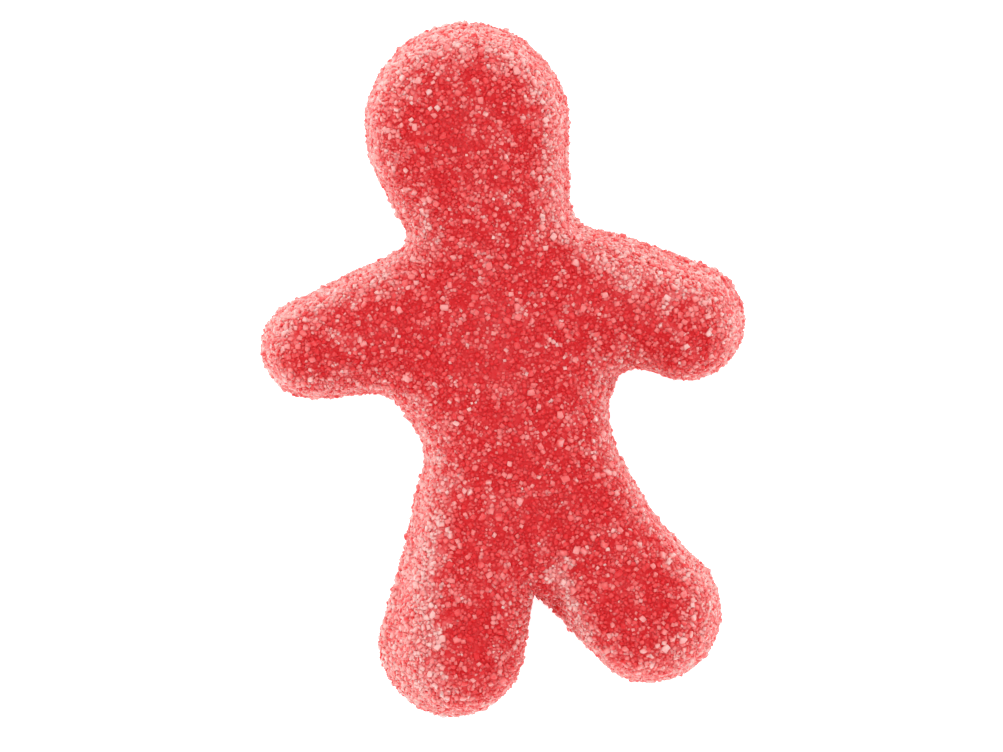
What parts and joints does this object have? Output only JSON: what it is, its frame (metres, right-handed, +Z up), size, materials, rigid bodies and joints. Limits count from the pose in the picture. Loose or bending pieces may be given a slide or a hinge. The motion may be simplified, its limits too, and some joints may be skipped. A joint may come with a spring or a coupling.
{
  "type": "sugared gummy figure",
  "caption": "Red jelly sweet in the form of a plain faceless figure with a round head, arms and legs, coated all over in coarse sugar.",
  "frame": {"origin": "on the table, under the middle of the flat back: the sweet lies on five sugar crystals that stand 0.1 mm out of its back", "axes": "+Y towards the top of the head, +Z up out of the front, +X towards the arm that is on the right when the front is looked at with the head up"},
  "size_m": [0.0284, 0.0399, 0.0109],
  "materials": {
    "sugared_jelly": "translucent red jelly under rough, frosty sugar crystals"
  },
  "bodies": {
    "root": {"sugared_figure": "sugared_jelly"}
  },
  "joints": []
}
